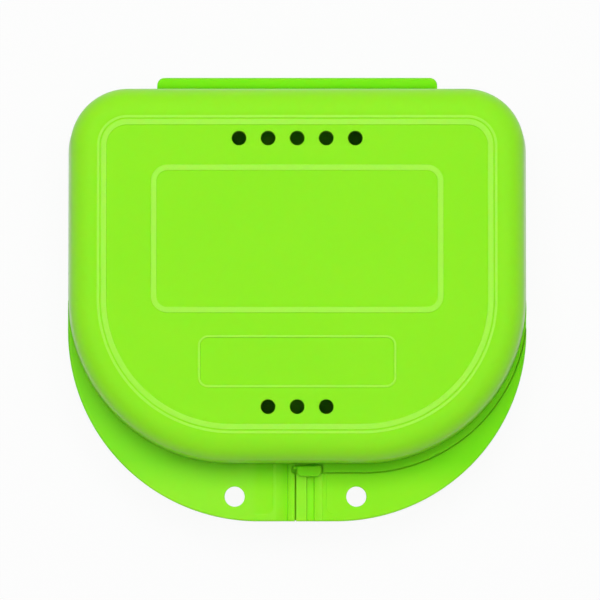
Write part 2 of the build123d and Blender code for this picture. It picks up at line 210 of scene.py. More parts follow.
def moulded_plastic(name, outwards, deep, light, sheen_above, sheen_at, most=1.0):
    """Glossy translucent plastic with a faint ripple and uneven pigment.

    Its green is darker and deeper at the first distance along a direction, as painted
    shade, and paler towards the second. Between the two heights it is painted paler and
    whiter, as a painted sheen, by up to the given share.
    """
    material = bpy.data.materials.new(name)
    material.use_nodes = True
    nodes, links = material.node_tree.nodes, material.node_tree.links
    shader = nodes["Principled BSDF"]
    place = nodes.new("ShaderNodeTexCoord")

    pigment = nodes.new("ShaderNodeTexNoise")
    pigment.inputs["Scale"].default_value = 45.0
    pigment.inputs["Detail"].default_value = 3.0
    # Painted shade: along the given direction the green is darker and deeper at the first distance and paler at
    # the second.
    along = nodes.new("ShaderNodeVectorMath")
    along.operation = "DOT_PRODUCT"
    along.inputs[1].default_value = outwards
    painted_shade_ramp = nodes.new("ShaderNodeMapRange")
    painted_shade_ramp.inputs["From Min"].default_value = deep * mm
    painted_shade_ramp.inputs["From Max"].default_value = light * mm
    painted_shade_ramp.inputs["To Max"].default_value = painted_shade_share
    uneven = nodes.new("ShaderNodeMath")
    uneven.operation = "MULTIPLY_ADD"
    uneven.inputs[1].default_value = 1 - painted_shade_share
    tint = nodes.new("ShaderNodeValToRGB")
    tint.color_ramp.elements[0].color = deep_green
    tint.color_ramp.elements[1].color = light_green
    links.new(place.outputs["Object"], pigment.inputs["Vector"])
    links.new(place.outputs["Object"], along.inputs[0])
    links.new(along.outputs["Value"], painted_shade_ramp.inputs["Value"])
    links.new(pigment.outputs["Fac"], uneven.inputs[0])
    links.new(painted_shade_ramp.outputs["Result"], uneven.inputs[2])
    links.new(uneven.outputs[0], tint.inputs["Fac"])

    # Painted sheen: between the two heights the green is painted paler and whiter.
    split = nodes.new("ShaderNodeSeparateXYZ")
    painted_sheen_mask = nodes.new("ShaderNodeMapRange")
    painted_sheen_mask.interpolation_type = "SMOOTHSTEP"
    painted_sheen_mask.inputs["From Min"].default_value = sheen_above * mm
    painted_sheen_mask.inputs["From Max"].default_value = sheen_at * mm
    painted_sheen_mask.inputs["To Max"].default_value = most
    painted_sheen_mix = nodes.new("ShaderNodeMixRGB")
    painted_sheen_mix.inputs["Color2"].default_value = painted_sheen_pale
    links.new(place.outputs["Object"], split.inputs["Vector"])
    links.new(split.outputs["Z"], painted_sheen_mask.inputs["Value"])
    links.new(painted_sheen_mask.outputs["Result"], painted_sheen_mix.inputs["Fac"])
    links.new(tint.outputs["Color"], painted_sheen_mix.inputs["Color1"])
    links.new(painted_sheen_mix.outputs["Color"], shader.inputs["Base Color"])

    polish = nodes.new("ShaderNodeTexNoise")
    polish.inputs["Scale"].default_value = 160.0
    polish.inputs["Detail"].default_value = 4.0
    gloss = nodes.new("ShaderNodeMapRange")
    gloss.inputs["To Min"].default_value = 0.26
    gloss.inputs["To Max"].default_value = 0.36
    links.new(place.outputs["Object"], polish.inputs["Vector"])
    links.new(polish.outputs["Fac"], gloss.inputs["Value"])
    links.new(gloss.outputs["Result"], shader.inputs["Roughness"])

    ripple = nodes.new("ShaderNodeTexNoise")
    ripple.inputs["Scale"].default_value = 260.0
    ripple.inputs["Detail"].default_value = 2.0
    relief = nodes.new("ShaderNodeBump")
    relief.inputs["Strength"].default_value = 0.15
    relief.inputs["Distance"].default_value = 0.02 * mm
    links.new(place.outputs["Object"], ripple.inputs["Vector"])
    links.new(ripple.outputs["Fac"], relief.inputs["Height"])
    links.new(relief.outputs["Normal"], shader.inputs["Normal"])

    shader.inputs["Subsurface Weight"].default_value = 1.0
    shader.inputs["Subsurface Radius"].default_value = (1.0, 0.7, 0.4)
    shader.inputs["Subsurface Scale"].default_value = scatter_depth * mm
    shader.inputs["Specular IOR Level"].default_value = 0.2
    shader.inputs["IOR"].default_value = 1.49
    return material


# The shells' green: darker and deeper low down and up the lid's walls, as painted shade, and paler and whiter on
# the crown's edge, the bead and the raised lines, as a painted sheen.
green = moulded_plastic(
    "green_plastic",
    outwards=(0, 0, 1),
    deep=14.0,
    light=25.0,
    sheen_above=case_height - 0.035,
    sheen_at=case_height - 0.01,
)
foot_height = 0.5
foot_side = 7.63  # outer edge of the foot ring, from the rim's edge at the sides and ends
foot_end = 7.03
foot_width = 1.2
guide_inset = 1.0
guide_height = 1.2
rim_round = 0.2
ejector_radius = 2.0
ejector_depth = 0.1
ejector_x = 20.0
ejector_y = 16.0
ejectors = [(x, body_middle + y) for x in (-ejector_x, ejector_x) for y in (-ejector_y, ejector_y)]
gate_radius = 1.6
gate_depth = 0.3
gate_stub = 0.5
gate_short = 0.05  # how far the gate's stub stays inside its dimple
mark_draft = 0.05

tray_height = rim_plane - foot_height
tray_depth = tray_height - wall
foot_profile = rounded(
    [
        (foot_width + run, tray_height),
        (foot_width, tray_height),
        (foot_width, rim_plane),
        (0, rim_plane),
        (0, tray_height),
        (-run, tray_height),
    ],
    (edge_round, rim_round, rim_round, edge_round),
)
guide_profile = rounded(
    [
        (0, run),
        (0, 0),
        (guide_inset, 0),
        (guide_inset, -guide_height),
        (wall, -guide_height),
        (wall, run),
    ],
    (edge_round, edge_round, rim_round, rim_round),
)
tray_rows = np.concatenate(
    [
        even_rows(foot_profile[1:-1], foot_side, foot_end),
        wall_rows(outer_start, 0, tray_height, outer_roll)[::-1],
        even_rows(guide_profile[1:-1]),
        wall_rows(inner_start, wall, tray_depth, outer_roll - wall),
    ]
)
floor = rim_plane - tray_depth
ejector_profile = [(ejector_radius, floor), (ejector_radius, floor - ejector_depth)]
gate_top = foot_height + gate_depth
gate_profile = [(gate_radius, foot_height), (gate_radius - mark_draft, gate_top)]
stub_profile = [(gate_stub, gate_top), (gate_stub - mark_draft, foot_height + gate_short)]
base_shell = closed_mesh(
    "base_shell",
    [
        at_heights(d_rings(tray_rows[:, 0], tray_rows[:, 1]), rim_plane - tray_rows[:, 2]),
        circle_rings(0, body_middle, gate_profile),
        circle_rings(0, body_middle, stub_profile),
        *[circle_rings(x, y, ejector_profile) for x, y in ejectors],
    ],
    [
        [(0, 0), (1, 0)],
        [(1, -1), (2, 0)],
        [(2, -1)],
        [(0, -1), (3, 0), (4, 0), (5, 0), (6, 0)],
        *[[(mark, -1)] for mark in (3, 4, 5, 6)],
    ],
)

# The tray's two hinge knuckles, moulded on to its back wall through short webs, with
# room left beside them for the lid's three. All five are bored in line for the pin.
knuckle_radius = 1.3
hinge_half = 24.45
end_knuckle = 7.8
centre_knuckle = 8.0
knuckle_gap = 0.2
cover_overhang = 0.95  # how far the cover strip reaches past the end knuckles
cover_under = 1.42  # underside of the cover strip above the pin's axis
root = 0.45  # how far webs and tabs reach into a wall
base_bore = 0.66
base_low = centre_knuckle / 2 + knuckle_gap
base_high = hinge_half - end_knuckle - knuckle_gap
base_spans = [(base_low, base_high), (-base_high, -base_low)]
lid_spans = [(cover_overhang - hinge_half, end_knuckle - hinge_half)]
lid_spans.append((-centre_knuckle / 2, centre_knuckle / 2))
lid_spans.append((hinge_half - end_knuckle, hinge_half - cover_overhang))


def arc(radius, start, finish, steps=24):
    """Points on a circle round the pin, between two angles in degrees from +Y towards +Z."""
    angle = np.radians(np.linspace(start, finish, steps))
    return radius * np.stack([np.cos(angle), np.sin(angle)], -1)


def along_pin(section, stations, scales):
    """Rings along the pin's axis: the section round the axis, scaled at each station."""
    section = np.reshape(scales, (-1, 1, 1)) * section
    x = np.broadcast_to(np.reshape(stations, (-1, 1, 1)), section.shape[:2] + (1,))
    return np.concatenate([x, section + [hinge_y, rim_plane]], -1)


def knuckle(name, span, section, bore, bore_start=None):
    """One knuckle with chamfered ends and its bore, which may start inside it."""
    low, high = span
    edge = 0.1
    small = 1 - edge / knuckle_radius
    outside = along_pin(section, (low, low + edge, high - edge, high), (small, 1, 1, small))
    start = low if bore_start is None else bore_start
    inside = along_pin(arc(bore, 0, 360, 25)[:-1], (start, high), (1, 1))
    ends = [[(0, 0), (1, 0)]] if bore_start is None else [[(0, 0)], [(1, 0)]]
    return closed_mesh(name, [outside, inside], [*ends, [(0, -1), (1, -1)]])


def pin_clearance(name, span):
    """Round bar on the pin's axis that clears the wall for the other half's knuckle."""
    low, high = span
    stations = (low - knuckle_gap, high + knuckle_gap)
    rings = along_pin(arc(cover_under, 0, 360, 49)[:-1], stations, (1, 1))
    return closed_mesh(name, [rings], [[(0, 0)], [(0, -1)]])


def combined(piece, operation, *others):
    """The piece joined with the others ("UNION") or less them ("DIFFERENCE"), exactly.

    The others are used up.
    """
    for other in others:
        change = piece.modifiers.new(operation, "BOOLEAN")
        change.operation = operation
        change.solver = "EXACT"
        change.object = other
    evaluated = piece.evaluated_get(bpy.context.evaluated_depsgraph_get())
    made = bpy.data.meshes.new_from_object(evaluated)
    piece.modifiers.clear()
    piece.data = made
    for other in others:
        bpy.data.objects.remove(other)
    return piece


web = body_back - root - hinge_y
base_section = np.concatenate([arc(knuckle_radius, -90, 179), [(web, 0.0), (web, -knuckle_radius)]])
combined(base_shell, "DIFFERENCE", *[pin_clearance("clearance", span) for span in lid_spans])
base_knuckles = [knuckle("knuckle", span, base_section, base_bore) for span in base_spans]
combined(base_shell, "UNION", *base_knuckles)

# The seat on the tray's front wall, a small block of the same moulding, from which the
# springy hook stands up.
hook_low, hook_high = (np.array(corner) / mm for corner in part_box("latch_hook"))
hook_left = -0.1
hook_right, hook_back, hook_top = hook_high
hook_x = (hook_left + hook_right) / 2
arm_foot = hook_low[2]
nose_reach = 0.2  # how far the nose stands behind the arm
arm_back = hook_back - nose_reach
seat_half = 2.1
seat_height = 1.2


def soft_block(name, low, high, radius, rounding):
    """Block between two corners, with upright edges of one radius and rounded rims."""
    profile = rounded([(run, low[2]), (0, low[2]), (0, high[2]), (run, high[2])], (rounding, rounding))
    rings = soft_rings(low, high, (radius,) * 4, profile[1:-1, 0], profile[1:-1, 0], (6,) * 4)
    return closed_mesh(name, [at_heights(rings, profile[1:-1, 1])], [[(0, 0)], [(0, -1)]])


def finished(piece, material, body, *nodes):
    """Soft shading with crisp folds, the plastic, and the body that carries the piece."""
    fold = np.radians(50)
    piece.data.polygons.foreach_set("use_smooth", np.ones(len(piece.data.polygons), bool))
    piece.data.set_sharp_from_angle(angle=fold)
    even = piece.modifiers.new("even normals", "WEIGHTED_NORMAL")
    even.keep_sharp = True
    piece.data.materials.clear()
    piece.data.materials.append(material)
    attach(piece, body)
    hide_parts(*nodes)


seat_low = (hook_x - seat_half, arm_back, arm_foot)
seat_high = (hook_x + seat_half, body_front + root, arm_foot + seat_height)
seat = soft_block("seat", seat_low, seat_high, radius=0.2, rounding=0.1)
combined(base_shell, "UNION", seat)
finished(base_shell, green, "base", "base_shell")

# The tray's thumb tab, on the right: a moulded plate with a cord hole, a shallow pocket
# and two grip ridges along the split. A thin tongue reaches under the lid's tab there,
# and the hook's arm stands in a slot behind.
tab_front = round(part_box("base_thumb_tab")[0].y / mm, 3)
tab_corner = 33.2
tab_split = -0.3  # middle of the gap between the two tabs
tab_edge = 0.12  # from there to each tab
tab_border = 1.2
tab_round = 0.35
split_round = 0.08
pocket_depth = 0.12
pocket_end = 8.3
pocket_corner = 1.3
pocket_wall = 0.15
lip_reach = 1.5
lip_gap = 0.2
fine_end = 6.0  # lines across a tab lie close up to here from its middle, and wider after
fine_step = 0.03
coarse_step = 0.12
beyond = 1.0  # how far a cutter reaches past what it cuts
mounts = {mount["name"]: mount for mount in frame["record"]["mounts"]}


def tab_plan(towards):
    """Lines across a tab, from its outer edge inwards, as starts, directions and lengths.

    Near the split the lines run straight back. Round the corner they point at the
    corner's centre, and along the side they run straight in. Each ends inside the wall,
    where it meets the case's plan drawn in by the root.
    """
    flat = half_width - tab_corner
    corner_y = tab_front + tab_corner
    first = tab_edge + towards * tab_split
    edge_lines = first + split_round * (1 - np.cos(np.radians(np.linspace(0, 90, 7))))
    near_split = np.arange(first + split_round, fine_end, fine_step)
    further = np.arange(fine_end, flat, coarse_step)
    x = np.unique(np.concatenate([edge_lines, near_split, further, [flat]]))
    turn = np.radians(np.concatenate([np.linspace(0, 8, 9)[1:], np.linspace(8, 90, 50)[1:]]))
    y = np.linspace(corner_y, body_front + front_corner, 5)[1:]
    start_x = np.concatenate([x, flat + tab_corner * np.sin(turn), np.full(4, half_width)])
    start_y = np.concatenate([np.full(len(x), tab_front), corner_y - tab_corner * np.cos(turn), y])
    inward_x = np.concatenate([np.zeros(len(x)), -np.sin(turn), np.full(4, -1.0)])
    inward_y = np.concatenate([np.ones(len(x)), np.cos(turn), np.zeros(4)])
    start, inward = np.stack([start_x, start_y], -1), np.stack([inward_x, inward_y], -1)
    centre = np.array([half_width - front_corner, body_front + front_corner])
    along = ((centre - start) * inward).sum(-1)
    away = ((centre - start) ** 2).sum(-1) - along**2
    to_arc = along - np.sqrt(np.clip((front_corner - root) ** 2 - away, 0, None))
    with np.errstate(divide="ignore"):
        to_front = (body_front + root - start_y) / inward_y
    in_front = start_x + inward_x * to_front < centre[0]
    return start, inward, np.where(in_front & (inward_y > 0), to_front, to_arc)


def edge_drop(distance, radius):
    """How far a rounded edge has fallen at a distance from it: a quarter circle's fall."""
    inside = np.clip(radius - distance, 0, radius)
    return radius - np.sqrt(radius**2 - inside**2)


def thumb_tab(name, towards, surface, pocket_start, bottom):
    """Closed plate whose top is a height over the plan.

    The height is the surface profile's at that distance from the split, less the pocket,
    whose floor rises evenly to nothing at its end, less the fall of the nearer edge.
    """
    start, inward, reach = tab_plan(towards)
    fall = tab_round * (1 - np.cos(np.radians(np.linspace(0, 90, 7))))
    border_rows = np.linspace(tab_round, tab_border, 5)
    pocket_rows = tab_border + np.arange(0, 1.5, 0.05)
    inner_rows = (4.0, 6.0)
    rows = np.unique(np.concatenate([fall, border_rows, pocket_rows, inner_rows]))
    depth = np.minimum(rows[None, :], reach[:, None])
    depth = np.concatenate([depth, reach[:, None]], 1)
    plan = start[:, None] + inward[:, None] * depth[..., None]
    from_split = plan[..., 0] - towards * tab_split
    near = np.hypot(
        np.maximum(pocket_corner - (from_split - pocket_start), 0),
        np.maximum(pocket_corner - (depth - tab_border), 0),
    )
    share = np.clip((pocket_corner - near) / pocket_wall, 0, 1)
    share = share * share * (3 - 2 * share)
    run_out = np.clip((pocket_end - from_split) / (pocket_end - pocket_start), 0, 1)
    drop = np.maximum(edge_drop(depth, tab_round), edge_drop(from_split - tab_edge, split_round))
    top = np.interp(from_split, *np.transpose(surface)) - pocket_depth * run_out * share - drop
    under = bottom + drop
    plan[..., 0] *= towards
    upper = np.concatenate([plan, (rim_plane + top)[..., None]], -1)
    lower = np.concatenate([plan, (rim_plane + under)[..., None]], -1)
    rings = np.concatenate([upper[:, ::-1], lower[:, list(range(len(fall))) + [-1]]], 1)
    return closed_mesh(name, [rings], [[(0, 0)], [(0, -1)]])


def cord_hole(name, top, bottom):
    """Cutter for a cord hole: a bar with flared ends, which leaves round edges on the plate."""
    mount = mounts[name]
    radius = mount["dims"]["r_mm"]
    x, y = np.array(mount["pos_m"][:2]) / mm
    mouth = 0.15
    angle = np.radians(np.linspace(0, 90, 6))
    flare = np.stack([radius + mouth - mouth * np.cos(angle), -mouth + mouth * np.sin(angle)], -1)
    upper = flare[::-1] + [0, rim_plane + top]
    lower = flare * [1, -1] + [0, rim_plane + bottom]
    first = (radius + mouth, rim_plane + top + beyond)
    last = (radius + mouth, rim_plane + bottom - beyond)
    profile = np.concatenate([[first], upper, lower, [last]])
    return closed_mesh(name, [circle_rings(x, y, profile, 64)], [[(0, 0)], [(0, -1)]])


def lip_room(low, high):
    """The case's plan moved forward past the other half's lip, as a block to cut away."""
    plan = d_rings([-lip_gap, -lip_gap], [-lip_gap, -lip_gap]) - [0, lip_reach]
    rings = at_heights(plan, (rim_plane + low, rim_plane + high))
    return closed_mesh("lip_room", [rings], [[(0, 0)], [(0, -1)]])


strip_top = 1.2  # heights above the rim's plane, and the underside's below it
plate_top = 1.08
base_tab_under = 1.2
groove_start = 1.93  # distances from the split
groove_end = 3.2
inner_strip_end = 4.65
base_pocket_start = 5.3
far = 50.0
groove_depth = 1.0
groove_steep = 0.65  # share of its depth that the groove falls at once
strip_rise = 0.14
step_width = 0.1
plate_step = 0.15
arm_half = 1.7
arm_thickness = 0.9
arm_front = arm_back - arm_thickness
slot_gap = 0.08  # room beside the hook's arm
slot_front = 0.65  # and in front of it
slot_height = 2.2
room_height = 3.0
tongue_reach = 0.8
tongue_setback = 0.15
tongue_root = 0.3
tongue_overlap = 0.2
tongue_top = 0.7  # below the rim's plane


def swell(start, end, top, rise):
    """Points on a quarter sine that rises to its top ever more gently."""
    share = np.linspace(0, 1, 10)
    return np.stack([start + (end - start) * share, top - rise + rise * np.sin(share * np.pi / 2)], -1)


groove = [
    (groove_start, strip_top),
    (groove_start + step_width, strip_top - groove_steep * groove_depth),
    (groove_end, strip_top - groove_depth),
]
inner_strip = swell(groove_end + step_width, inner_strip_end, strip_top, strip_rise)
plate = [(inner_strip_end + plate_step, plate_top), (far, plate_top)]
ridge_surface = np.concatenate([[(0, strip_top)], groove, inner_strip, plate])
base_tab = thumb_tab("base_thumb_tab", 1, ridge_surface, base_pocket_start, -base_tab_under)
slot_low = (hook_x - arm_half - slot_gap, arm_front - slot_front, rim_plane - slot_height)
slot_high = (hook_x + arm_half + slot_gap, body_front, rim_plane + slot_height)
arm_slot = soft_block("arm_slot", slot_low, slot_high, radius=0.1, rounding=0.01)
base_cord_hole = cord_hole("lanyard_hole_base", plate_top, -base_tab_under)
combined(base_tab, "DIFFERENCE", lip_room(0, room_height), base_cord_hole, arm_slot)
tongue_low = (tab_split - tongue_reach, tab_front + tongue_setback, rim_plane - base_tab_under)
tongue_high = (tongue_root, body_front - lip_reach + tongue_overlap, rim_plane - tongue_top)
combined(base_tab, "UNION", soft_block("tongue", tongue_low, tongue_high, radius=0.2, rounding=0.1))
# The tabs' green: darker and deeper next to the lid's wall, as painted shade, and a little paler and whiter on the
# highest strips, as a painted sheen.
shaded_sheen_green = moulded_plastic(
    "green_plastic_rubbed",
    outwards=(0, -1, 0),
    deep=28.0,
    light=33.5,
    sheen_above=rim_plane + 1.14,
    sheen_at=rim_plane + 1.19,
    most=0.2,
)
finished(base_tab, shaded_sheen_green, "base", "base_thumb_tab")

# The tray's lip on the left, part of its moulding, which the lid's tab lies on. The
# lid has one like it on the right. Both thin out towards the sides.
lip_thickness = 1.2


def rim_lip(name, towards, start, low, high):
    """Closed strip from inside the wall out to the rim's plan moved forward, or the tab's edge.

    Its lines run straight forward in front, and from the corner's centre outwards round
    the corner, each as far as the nearer of the two outlines. A line meets an outline's
    circle at its run along the centre's offset, plus the root of that run squared, less
    the offset squared, plus the radius squared.
    """
    flat = half_width - front_corner
    x = np.linspace(start, flat, 6)
    turn = np.radians(np.linspace(0, 90, 60)[1:])
    outward = np.stack([np.sin(turn), -np.cos(turn)], -1)
    moved = np.array([0, -lip_reach])
    tab = np.array([front_corner - tab_corner, tab_front + tab_corner - body_front - front_corner])
    reaches = []
    for offset, radius in ((moved, front_corner), (tab, tab_corner)):
        along = outward @ offset
        reaches.append(along + np.sqrt(along**2 - offset @ offset + radius**2))
    beside = reaches[1] * outward[:, 1] > tab[1]
    reaches[1] = np.where(beside, front_corner / outward[:, 0], reaches[1])
    outer = np.concatenate([np.full(len(x), front_corner + lip_reach), np.minimum(*reaches)])
    centre_x = np.concatenate([x, np.full(len(turn), flat)])
    direction = np.concatenate([np.tile([0.0, -1.0], (len(x), 1)), outward])
    edge = rounded([(run, low), (0, low), (0, high), (run, high)], (edge_round, edge_round))[1:-1]
    distance = np.maximum(outer[:, None] - edge[:, 0], front_corner - root)
    inner = np.full((len(outer), 1), front_corner - root)
    distance = np.concatenate([inner, distance, inner], 1)
    heights = np.concatenate([[low], edge[:, 1], [high]]) + rim_plane
    plan = direction[:, None] * distance[..., None]
    plan[..., 0] = towards * (plan[..., 0] + centre_x[:, None])
    plan[..., 1] += body_front + front_corner
    heights = np.broadcast_to(heights[None, :, None], plan.shape[:2] + (1,))
    rings = np.concatenate([plan, heights], -1)
    return closed_mesh(name, [rings], [[(0, 0)], [(0, -1)]])


base_lip = rim_lip("base_rim_lip", -1, -(tab_split + tab_edge), -lip_thickness, 0)
finished(base_lip, green, "base", "base_rim_lip")

# The hinge pin: a short length of drawn steel wire, chamfered at both ends and pressed
# into the tray's knuckles. Drawing leaves fine scratches along it.
def drawn_steel():
    """Bright steel wire with fine scratches that run along X."""
    material = bpy.data.materials.new("steel_pin")
    material.use_nodes = True
    nodes, links = material.node_tree.nodes, material.node_tree.links
    shader = nodes["Principled BSDF"]
    shader.inputs["Metallic"].default_value = 1.0
    place = nodes.new("ShaderNodeTexCoord")
    stretch = nodes.new("ShaderNodeMapping")
    stretch.inputs["Scale"].default_value = (60, 9000, 9000)
    scratches = nodes.new("ShaderNodeTexNoise")
    scratches.inputs["Scale"].default_value = 1.0
    scratches.inputs["Detail"].default_value = 4.0
    tint = nodes.new("ShaderNodeValToRGB")
    tint.color_ramp.elements[0].color = (0.5, 0.5, 0.51, 1)
    tint.color_ramp.elements[1].color = (0.7, 0.7, 0.7, 1)
    gloss = nodes.new("ShaderNodeMapRange")
    gloss.inputs["To Min"].default_value = 0.22
    gloss.inputs["To Max"].default_value = 0.42
    links.new(place.outputs["Object"], stretch.inputs["Vector"])
    links.new(stretch.outputs["Vector"], scratches.inputs["Vector"])
    links.new(scratches.outputs["Fac"], tint.inputs["Fac"])
    links.new(scratches.outputs["Fac"], gloss.inputs["Value"])
    links.new(tint.outputs["Color"], shader.inputs["Base Color"])
    links.new(gloss.outputs["Result"], shader.inputs["Roughness"])
    return material


pin = frame["nodes"]["hinge_pin"]
pin.data.materials.clear()
pin.data.materials.append(drawn_steel())

# The lid: a domed shell of the same plan and plastic. A groove and a bead run round its
# top, and the panel inside lies a little lower, with a raised frame for a label, a sunk
# field for a name, and two rows of air holes drilled by pins in the mould.
lid_height = case_height - rim_plane
panel_drop = 0.14
panel = lid_height - panel_drop
ceiling = lid_height - wall
skirt = 0.9
skirt_height = 1.3
skirt_round = 0.08
bead_side = 6.25  # outer edge of the bead, from the rim's edge at the sides and ends
bead_end = 5.8
bead_width = 0.98
bead_hollow = 0.015
bead_groove = 0.2
groove_sink = 0.09
edge_line = 0.42
crown_step = 0.05
crown_roll = 4.8
slant = 0.1
label_side = 25.2
label_margin = 7.8  # distances from the bead's outer edge
name_margin = 7.2
rear_vent_margin = 3.3
front_vent_margin = 3.9
label_back = body_back - bead_end - label_margin
label_line = 1.1
label_rise = 0.14
label_corner = 2.9
name_half = 17.05
name_depth = 9.0
name_front = body_front + bead_end + name_margin
name_back = name_front + name_depth
name_corner = 1.75
name_line = 0.47
name_rise = 0.14
name_sink = 0.08
label_gap = 3.8
label_front = name_back + label_gap
vent_radius = 1.25
vent_mouth = 0.15
vent_pitch = 5.0
vents = [(vent_pitch * step, body_back - bead_end - rear_vent_margin) for step in (-2, -1, 0, 1, 2)]
vents += [(vent_pitch * step, body_front + bead_end + front_vent_margin) for step in (-1, 0, 1)]

line_end = -bead_groove - edge_line
crown_radii = (0.05, 0.05, 0.5, 0.04, 0.02, 0.02, 0.04, 0.04, 0.04)
line_radii = (0.05, 0.05, 0.05, 0.05)
crown_profile = rounded(
    [
        (bead_width + run, panel),
        (bead_width + slant / 2, panel),
        (bead_width - slant / 2, lid_height),
        (bead_width / 2, lid_height - bead_hollow),
        (slant / 2, lid_height),
        (0, lid_height - groove_sink),
        (-bead_groove, lid_height - groove_sink),
        (-bead_groove - slant / 2, lid_height),
        (line_end, lid_height),
        (line_end - slant, lid_height - crown_step),
        (line_end - run, lid_height - crown_step),
    ],
    crown_radii,
)
skirt_profile = rounded(
    [(0, run), (0, 0), (skirt, 0), (skirt, skirt_height), (wall + run, skirt_height)],
    (edge_round, edge_round, skirt_round),
)
lid_rows = np.concatenate(
    [
        even_rows(crown_profile[1:-1], bead_side, bead_end),
        wall_rows(outer_start, 0, lid_height - crown_step, crown_roll)[::-1],
        even_rows(skirt_profile[1:-1]),
        wall_rows(skirt_height, wall, ceiling, outer_roll - wall),
    ]
)
frame_profile = rounded(
    [
        (-run, panel),
        (0, panel),
        (slant, panel + label_rise),
        (label_line - slant, panel + label_rise),
        (label_line, panel),
        (label_line + run, panel),
    ],
    line_radii,
)[1:-1]
label_rings = soft_rings(
    (-label_side, label_front),
    (label_side, label_back),
    (label_corner,) * 4,
    frame_profile[:, 0],
    frame_profile[:, 0],
    (14,) * 4,
)
name_profile = rounded(
    [
        (-run, panel),
        (0, panel),
        (slant / 2, panel + name_rise),
        (name_line - slant, panel + name_rise),
        (name_line, panel - name_sink),
        (name_line + run, panel - name_sink),
    ],
    line_radii,
)[1:-1]
name_rings = soft_rings(
    (-name_half, name_front),
    (name_half, name_back),
    (name_corner,) * 4,
    name_profile[:, 0],
    name_profile[:, 0],
    (12,) * 4,
)
mouth_angle = np.radians(np.linspace(90, 0, 6))
mouth_radius = vent_radius + vent_mouth - vent_mouth * np.cos(mouth_angle)
mouth_height = panel - vent_mouth + vent_mouth * np.sin(mouth_angle)
vent_profile = np.stack([mouth_radius, mouth_height], -1)
vent_profile = np.concatenate([vent_profile, [(vent_radius, ceiling)]]) + [0, rim_plane]
inside_top = rim_plane + ceiling
mark_profile = [(ejector_radius, inside_top), (ejector_radius, inside_top + ejector_depth)]
vent_bands = range(3, 3 + len(vents))
mark_bands = range(3 + len(vents), 7 + len(vents))
lid_shell = closed_mesh(
    "lid_shell",
    [
        at_heights(d_rings(lid_rows[:, 0], lid_rows[:, 1]), rim_plane + lid_rows[:, 2]),
        at_heights(label_rings, rim_plane + frame_profile[:, 1]),
        at_heights(name_rings, rim_plane + name_profile[:, 1]),
        *[circle_rings(x, y, vent_profile) for x, y in vents],
        *[circle_rings(x, y, mark_profile) for x, y in ejectors],
    ],
    [
        [(0, 0), (1, 0), (2, 0), *[(band, 0) for band in vent_bands]],
        [(1, -1)],
        [(2, -1)],
        [(0, -1), *[(band, -1) for band in vent_bands], *[(band, 0) for band in mark_bands]],
        *[[(band, -1)] for band in mark_bands],
    ],
)

# The lid's side of the hinge: three knuckles under a cover strip with round corners,
# moulded on to the back wall. The pin goes in from the open right end.
pin_radius = 0.65
lid_bore = 0.70
bore_closed = 2.0  # the left knuckle is closed this far in
web_overlap = 0.1  # how far the knuckles' webs reach into the strip
cover_thickness = 1.3
cover_corner = 1.3
cover_round = 0.45
cover_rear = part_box("lid_shell")[1].y / mm
cover_curve = 1.9  # radius of the strip's top, which curves down towards the wall
cover_least = 0.1


def cover_strip():
    """Closed strip along the pin, made of sections at stations along it.

    Its top is an arc that falls from the rounded rear edge towards the wall. Towards each
    end the section gets shorter by the corner's arc, and lower by the edge's.
    """
    front = body_back - root
    depth = cover_rear - front
    rear = rounded(
        [(0, 0), (depth, 0), (depth, cover_thickness), (0, cover_thickness)],
        (edge_round, cover_round),
        9,
    )
    reach = depth - cover_round
    y = np.linspace(reach, 0, 16)[1:]
    fall = cover_curve - np.sqrt(np.clip(cover_curve**2 - (reach - y) ** 2, 0, None))
    top = np.stack([y, np.maximum(cover_thickness - fall, cover_least)], -1)
    section = np.concatenate([rear[:-1], top])
    from_end = cover_corner * (1 - np.cos(np.radians(np.linspace(0, 90, 14))))
    shorter = cover_corner - np.sqrt(cover_corner**2 - (cover_corner - from_end) ** 2)
    lower = np.clip(cover_round - from_end, 0, None)
    lower = cover_round - np.sqrt(cover_round**2 - lower**2)
    shorter = np.concatenate([shorter, shorter[::-1]])[:, None]
    lower = np.concatenate([lower, lower[::-1]])[:, None]
    x = np.concatenate([from_end - hinge_half, hinge_half - from_end[::-1]])[:, None]
    y = front + section[:, 0] * (1 - shorter / depth)
    z = rim_plane + cover_under + section[:, 1] * (1 - lower / cover_thickness)
    rings = np.stack([np.broadcast_to(x, y.shape), y, z], -1)
    return closed_mesh("cover", [rings], [[(0, 0)], [(0, -1)]])


web_top = cover_under + web_overlap
lid_section = np.concatenate(
    [arc(knuckle_radius, 180, 420), [(pin_radius, web_top), (web, web_top), (web, 0.0)]]
)
combined(lid_shell, "DIFFERENCE", *[pin_clearance("clearance", span) for span in base_spans])
cover = cover_strip()
lid_knuckles = [
    knuckle("knuckle", lid_spans[0], lid_section, lid_bore, bore_closed - hinge_half),
    knuckle("knuckle", lid_spans[1], lid_section, lid_bore),
    knuckle("knuckle", lid_spans[2], lid_section, lid_bore),
]
combined(lid_shell, "UNION", *lid_knuckles, cover)

# The catch: a small ledge moulded on the lid's front wall, which the hook's nose snaps
# over.
catch_reach = 0.25
catch_height = 0.6
catch_low = (hook_x - arm_half, body_front - catch_reach, rim_plane)
catch_high = (hook_x + arm_half, body_front + root, rim_plane + catch_height)
catch = soft_block("catch", catch_low, catch_high, radius=0.15, rounding=0.08)
combined(lid_shell, "UNION", catch)
finished(lid_shell, green, "lid", "lid_shell")

# The lid's thumb tab, on the left: level with its lip and notched from below over the
# tray's lip. A trough runs along the split, and a round notch clears the hook's ear.
trough_start = 3.75
trough_end = 1.4
trough_depth = 1.05
outer_strip_drop = 0.15
outer_strip_end = 0.45
outer_strip_rise = 0.3
lid_pocket_start = 3.85
lid_tab_under = 0.6
ear_setback = 0.15
notch_radius = 0.775
notch_reach = 0.65
notch_gap = 0.2


